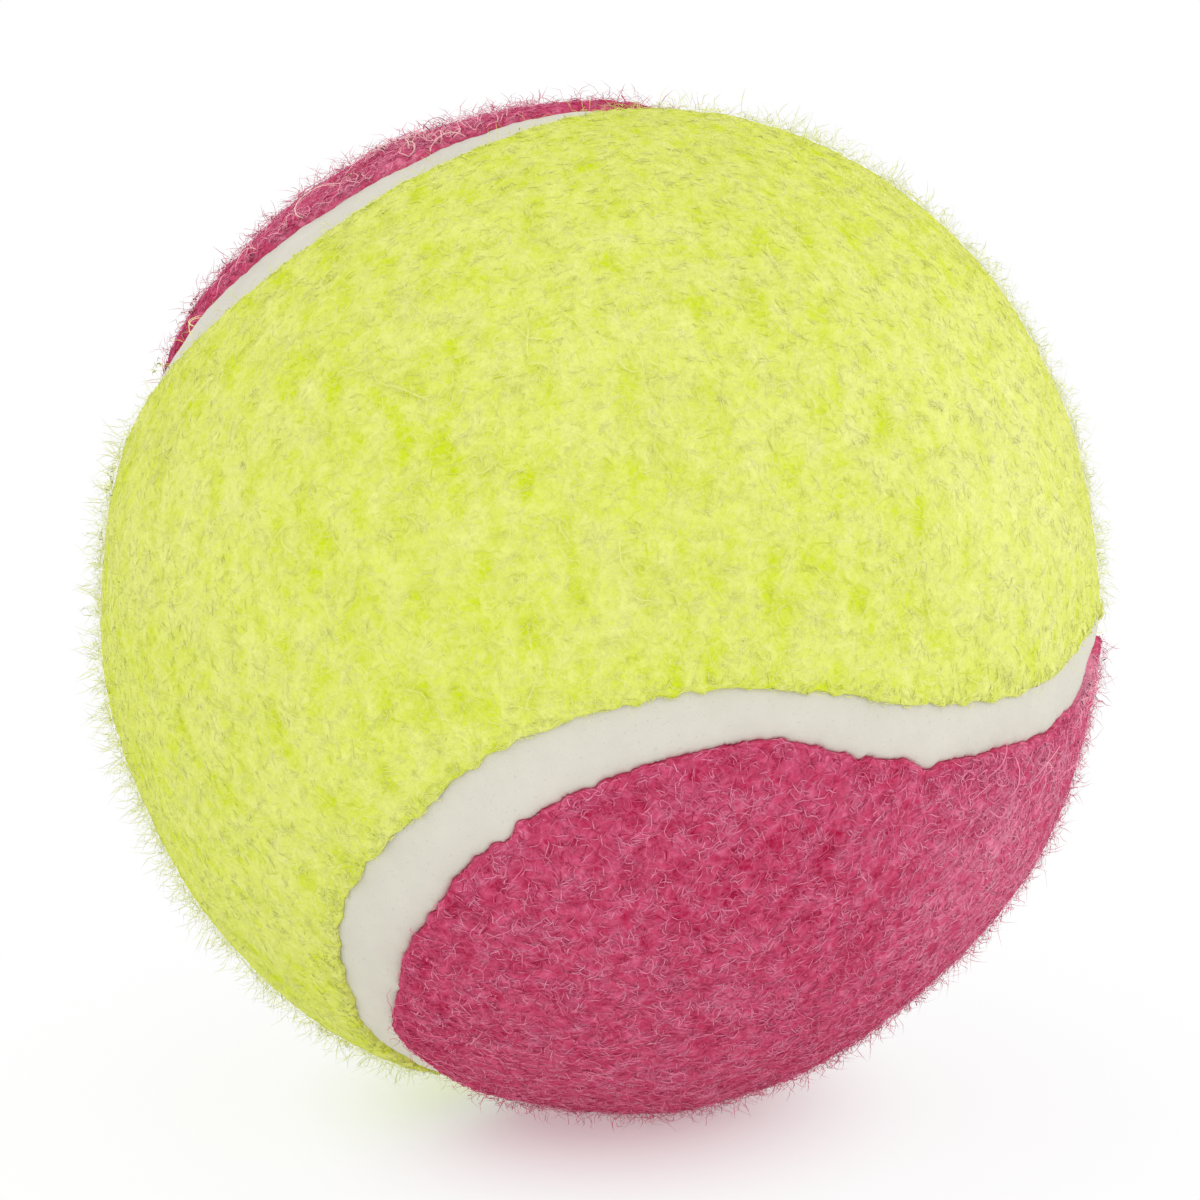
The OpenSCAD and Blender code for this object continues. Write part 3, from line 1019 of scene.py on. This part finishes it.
# %% [markdown]
# ## Loose hairs, tangles and crumbs
# Use pulls single hairs out of the felt, knots others up and leaves soiled bits in them. Chance
# would put them anywhere, so these few are set by the photograph's pixels. A loose hair is a start
# pixel, the way it sets off in degrees (0 to the right, 90 up), its length in millimetres, the
# degrees it bends through (to the left if more than 0), its height and its tone. A tangle is a
# pixel, its spread in pixels, how many hairs it has and their tone.

# %% Where they lie
LOOSE = {
    PINK: [(307, 222, 140, 5.5, -170, 0.7, 1.9), (238, 273, 100, 2.6, -95, 0.5, 1.7),
           (298, 214, 30, 4.2, -50, 0.6, 1.6), (398, 160, 75, 2.6, -140, 0.7, 1.8),
           (411, 150, 20, 2.4, 200, 0.6, 1.7), (424, 131, -70, 2.2, 150, 0.6, 1.5),
           (432, 158, 110, 2.8, -120, 0.8, 1.8), (365, 166, 80, 2.6, -110, 0.5, 1.5),
           (345, 182, 10, 3.0, 60, 0.5, 1.7), (470, 132, 140, 2.6, -150, 0.7, 1.6),
           (500, 118, 200, 2.4, 90, 0.6, 1.4), (452, 140, 60, 2.0, -200, 0.5, 1.6),
           (268, 236, 60, 2.2, 80, 0.5, 1.3), (220, 298, 50, 2.0, 60, 0.5, 1.3),
           (535, 112, 170, 2.4, 70, 0.6, 1.3), (1028, 780, 65, 3.8, -110, 0.5, 1.2),
           (1011, 754, -35, 3.2, -110, 0.4, 1.1), (981, 779, 25, 3.0, 45, 0.4, 1.0),
           (985, 806, -60, 2.4, 130, 0.4, 0.9), (1000, 825, 120, 2.2, -100, 0.4, 0.9),
           (1046, 745, 200, 2.6, 60, 0.4, 1.0), (1074, 742, 250, 2.8, -60, 0.5, 1.1),
           (968, 800, 80, 2.0, -90, 0.3, 0.9)],
    YELLOW: [(205, 318, 200, 1.8, 120, 0.6, 1.4), (196, 340, 120, 1.6, -90, 0.7, 1.3)],
}
TANGLES = {
    PINK: [(1005, 795, 40, 22, 0.8), (1052, 765, 28, 14, 0.95), (975, 775, 30, 10, 0.8),
           (1094, 650, 8, 12, 1.3), (400, 150, 24, 16, 1.5), (300, 222, 18, 9, 1.3), (440, 137, 22, 14, 1.4),
           (500, 122, 20, 8, 1.2), (350, 188, 16, 8, 1.4), (236, 282, 14, 6, 1.2)],
    YELLOW: [(110, 480, 30, 8, 1.2)],
}
CRUMBS = {
    PINK: [(345, 185), (352, 182), (361, 176), (176, 344), (181, 336), (185, 330)],
    YELLOW: [(171, 350), (168, 357)],
}
LOOSE_KNOTS, LOOSE_THICKNESS = 14, (0.07, 0.11)
TANGLE = dict(length=(1.4, 3.0), knots=12, curl=0.45, crimp=0.2, stray=0.1, thickness=(0.06, 0.095))
CRUMB = dict(length=(0.3, 0.9), knots=4, curl=0.4, crimp=0.6, stray=0.5, thickness=(0.05, 0.09))
CRUMB_BITS, CRUMB_SPREAD = 4, 0.25


def pixel_directions(table):
    """The direction of the pixel that each row of a table begins with."""
    return np.array([pixel_direction(x, y) for x, y in table[:, :2]])


# %% Their paths
def loose_hairs(rng, side):
    """Along each hair of the table the heading turns by the same part of its bend at every step, give
    or take, and the height above the nap follows an arch."""
    table = np.array(LOOSE[side])
    here, ahead = pixel_directions(table), toward(VIEW_RIGHT, VIEW_UP, np.radians(table[:, 2]))
    path = []
    for _ in range(LOOSE_KNOTS):
        path.append(here)
        ahead = unit(ahead - here * dots(ahead, here)[:, None])
        bend = np.radians(table[:, 4]) / (LOOSE_KNOTS - 1) + 0.12 * rng.normal(size=len(table))
        ahead = turned(ahead, here, bend)
        here = unit(here + ahead * (table[:, 3] / (LOOSE_KNOTS - 1) / BALL_R)[:, None])
    height = table[:, 5, None] * np.sin(np.pi * np.linspace(0.05, 0.9, LOOSE_KNOTS))
    path = np.stack(path, axis=1) * (BALL_R + height)[..., None]
    return path, rng.uniform(*LOOSE_THICKNESS, len(table)), table[:, 6:], LYING_LEAN


def tangles(rng, side):
    """Knots of curls: each tangle's hairs start round its pixel and rise and fall twice."""
    table = np.repeat(TANGLES[side], [row[3] for row in TANGLES[side]], axis=0)
    each = (len(table), 1)
    spread = table[:, 2, None] * CAMERA_DISTANCE / FOCAL_PIXELS / BALL_R
    roots = unit(pixel_directions(table) + rng.normal(size=(len(table), 3)) * spread * 0.6)
    path, inside = wandering(rng, roots, TANGLE, side)
    arch = np.abs(np.sin(np.linspace(0, 2 * np.pi, TANGLE["knots"]) + rng.uniform(0, np.pi, each)))
    height = 0.2 + arch * rng.uniform(0.1, 0.5, each)
    return batch(rng, TANGLE, path, inside, height, table[:, 4:] + 0.2 * rng.normal(size=each))


def crumbs(rng, side):
    """A few short soiled bits of fibre round each of the marked pixels."""
    roots = np.repeat(pixel_directions(np.array(CRUMBS[side])), CRUMB_BITS, axis=0)
    roots = unit(roots + rng.normal(size=roots.shape) * CRUMB_SPREAD / BALL_R)
    headings = any_heading(rng, roots)
    length = rng.uniform(*CRUMB["length"], len(roots))
    path, _ = walked(rng, roots, headings, length, CRUMB, side)
    height = rng.uniform(0.05, 0.4, (len(roots), 1)) + 0.2 * rng.uniform(-1, 1, path.shape[:2])
    tone = rng.uniform(-1, -0.3, (len(roots), 1))
    thickness = rng.uniform(*CRUMB["thickness"], len(roots))
    return path * (BALL_R + height)[..., None], thickness, tone, STANDING_LEAN


# %% [markdown]
# ## The two naps
# Each colour gets three pieces of mat and one of everything above it, so that no mesh grows too
# large to export. The looks say how many fibres of a kind there are and how long, curled, high,
# pale and thick they come, in millimetres. The two numbers of a pair are the least and the most.

# %% The looks of the kinds
MAT = {
    YELLOW: dict(count=16200, length=(0.7, 1.7), knots=4, curl=0.35, crimp=0.45, stray=0.06, height=0.06,
                 arch=0.05, tone=0.53, spread=0.19, tuft=0.42, palest=1.05, together=1.2, loose=0.08,
                 free=0.06, thickness=(0.05, 0.075)),
    PINK: dict(count=16200, length=(0.7, 1.5), knots=4, curl=0.7, crimp=0.6, stray=0.06, height=0.13,
               arch=0.1, tone=0.53, spread=0.3, tuft=0.3, palest=0.95, together=0.3, loose=0.3,
               free=0.1, thickness=(0.055, 0.085)),
}
WIDE = {
    YELLOW: dict(count=400, length=(1.8, 3.6), knots=9, curl=0.25, crimp=0.3, stray=0.25, height=0.08,
                 tone=0.7, spread=0.12, thickness=(0.05, 0.07)),
    PINK: dict(count=500, length=(1.8, 4), knots=9, curl=0.3, crimp=0.35, stray=0.25, height=0.15,
               tone=0.6, spread=0.12, thickness=(0.055, 0.075)),
}
TIGHT = {
    YELLOW: dict(count=200, length=(1.0, 2.2), knots=9, curl=0.5, crimp=0.35, stray=0.25, height=0.3,
                 tone=0.65, spread=0.12, thickness=(0.04, 0.06)),
    PINK: dict(count=750, length=(1.2, 2.8), knots=9, curl=0.6, crimp=0.4, stray=0.25, height=0.45,
               tone=0.6, spread=0.15, thickness=(0.045, 0.065)),
}
HAZE = {
    YELLOW: dict(count=21500, length=(0.7, 1.5), knots=3, curl=0.4, crimp=0.5, stray=0.2, height=0.6,
                 tallest=1.6, tone=0.5, spread=0.15, thickness=(0.03, 0.05)),
    PINK: dict(count=17500, length=(0.8, 1.8), knots=3, curl=0.5, crimp=0.7, stray=0.2, height=0.55,
               tallest=1.7, tone=0.32, spread=0.15, thickness=(0.035, 0.055)),
}
RIM = {
    YELLOW: dict(count=2800, length=(0.5, 1.1), knots=4, curl=0.4, crimp=0.5, stray=0.1, tone=0.55,
                 spread=0.15, thickness=(0.05, 0.075)),
    PINK: dict(count=2600, length=(0.5, 1.2), knots=4, curl=0.4, crimp=0.6, stray=0.03, tone=0.36,
               spread=0.16, thickness=(0.06, 0.09)),
}
MAT_PIECES = 3
FUZZ = [(curls, WIDE), (curls, TIGHT), (haze, HAZE), (rim, RIM)]

# %% The eight meshes of fibres
FUZZ_SEED = 50

for side, name in NAMES.items():
    first_seed = 100 * (side + 2)
    for number in range(MAT_PIECES):
        rng = np.random.default_rng(first_seed + number)
        add_nap(f"{name}_nap_{number + 1}", [mat(rng, side, MAT[side])], side)
    rng = np.random.default_rng(first_seed + FUZZ_SEED)
    batches = [make(rng, side, look[side]) for make, look in FUZZ]
    batches += [make(rng, side) for make in (loose_hairs, tangles, crumbs)]
    add_nap(f"{name}_fuzz", batches, side)

# %% [markdown]
# ## The floor and the light
# The photograph was taken in soft, even light on white. A white world gives it, with wide lamps
# in front, on the left and on the right for a little direction. Part of the floor's white is its
# own glow, so that the shadow stays faint. To the camera that glow is painted light, stronger away
# from the ball, which fades the shadow out, so the camera sees the floor nearly white.

# %% The floor
FLOOR_REACH = 6.0
FLOOR_PAPER = (0.94, 0.98, 0.97, 1)
NEAR_STEP, FAR_STEP = (0.008, 0.034), (0.03, 0.08)
WHITE = (1, 1, 1, 1)


def build_floor():
    """Half paper, half glow. To the camera the glow's share is 0.33 under the ball, and it grows by
    0.53 and by 0.14 in two smooth steps of the distance sqrt((1.5 x)^2 + y^2) from it: painted light
    that fades the ball's shadow out."""
    finish = Finish("studio_floor")
    place = finish.node("ShaderNodeVectorMath", {"operation": "MULTIPLY"}, {0: finish.place, 1: (1.5, 1, 0)})
    away = finish.node("ShaderNodeVectorMath", {"operation": "LENGTH"}, {0: place}, 1)
    far, farther = (finish.node("ShaderNodeMapRange", {"interpolation_type": "SMOOTHSTEP"},
                                {"Value": away, "From Min": near, "From Max": end})
                    for near, end in (NEAR_STEP, FAR_STEP))
    paper = finish.node("ShaderNodeBsdfDiffuse", {}, {"Color": FLOOR_PAPER})
    glow = finish.node("ShaderNodeEmission", {}, {"Color": WHITE, "Strength": 1.0})
    share = 0.5 + finish.seen() * (-0.17 + 0.53 * far + 0.14 * farther)
    mesh = bpy.data.meshes.new("studio_floor")
    square = ((-1, -1), (1, -1), (1, 1), (-1, 1))
    corners = [(x * FLOOR_REACH, y * FLOOR_REACH, FLOOR_Z * MM) for x, y in square]
    mesh.from_pydata(corners, [], [(0, 1, 2, 3)])
    mesh.materials.append(finish.end(finish.node("ShaderNodeMixShader", {}, {0: share, 1: paper, 2: glow})))
    floor = bpy.data.objects.new("studio_floor", mesh)
    bpy.context.scene.collection.objects.link(floor)


build_floor()
print("floor at", FLOOR_Z, "mm,", 2 * FLOOR_REACH, "m wide")

# %% The world and the lamps
WORLD_LEVEL = 0.95
LAMP_WIDTH = 0.5
LAMPS = [("front_window", (0.4, -0.6, 0.4), 0.9), ("left_window", (-0.8, -0.25, 0.05), 0.75),
         ("right_window", (0.85, 0.45, 0.15), 1.15)]


def build_light():
    """A world that is pure white to the camera and a little less bright to the ball, and round lamps
    that look at the ball's centre."""
    sky = Finish("studio_white", world=True)
    lighting, plain = (sky.node("ShaderNodeBackground", {}, {"Color": WHITE, "Strength": level})
                       for level in (WORLD_LEVEL, 1.0))
    mixed = sky.node("ShaderNodeMixShader", {}, {0: sky.seen(), 1: lighting, 2: plain})
    bpy.context.scene.world = sky.end(mixed)
    for name, place, watts in LAMPS:
        lamp = bpy.data.lights.new(name, "AREA")
        lamp.shape, lamp.size, lamp.energy = "DISK", LAMP_WIDTH, watts
        holder = bpy.data.objects.new(name, lamp)
        bpy.context.scene.collection.objects.link(holder)
        holder.location = place
        holder.rotation_mode = "QUATERNION"
        holder.rotation_quaternion = (-Vector(place)).to_track_quat("-Z", "Y")


build_light()
bpy.context.scene.view_settings.view_transform = "Standard"
print("lamps:", ", ".join(name for name, _, _ in LAMPS))

# %% [markdown]
# ## The inner layers
# They are hidden while the ball is whole, but they are parts in their own right, so each CAD node
# gets its own finish: dark grey rubber with a moulded grain, and streaky dried cement.

# %% Inner finishes
def rubber_finish():
    """Grey in slow clouds with a fine grain."""
    finish = Finish("core_rubber_grain")
    grain, cloud = finish.noise(0.25, 3, 0.6), finish.noise(6, 2, 0.5)
    colour = finish.mix((cloud * 0.8 + grain * 0.3).clamped(), rgb(48, 46, 46), rgb(78, 75, 73))
    return finish.surface(Base_Color=colour, Roughness=0.6 + 0.25 * grain, Normal=finish.bump(grain, 0.05))


def cement_finish():
    """Cream in streaks, half glossy."""
    finish = Finish("dried_cement")
    streak, cloud = finish.noise(0.6, 3, 0.6, 1.2), finish.noise(5, 2, 0.5)
    colour = finish.mix((streak * 0.7 + cloud * 0.3).clamped(), rgb(214, 196, 150), rgb(238, 228, 196))
    return finish.surface(Base_Color=colour, Roughness=0.35 + 0.3 * cloud, Normal=finish.bump(streak, 0.08))


INNER = {rubber_finish(): ("lower_core_half", "upper_core_half"),
         cement_finish(): ("core_joint_cement", "cover_cement")}
for finish, names in INNER.items():
    for name in names:
        slots = NODES[name].data.materials
        if len(slots) == 0:
            slots.append(finish)
        for k in range(len(slots)):
            slots[k] = finish
    print(finish.name, "on", " and ".join(names))
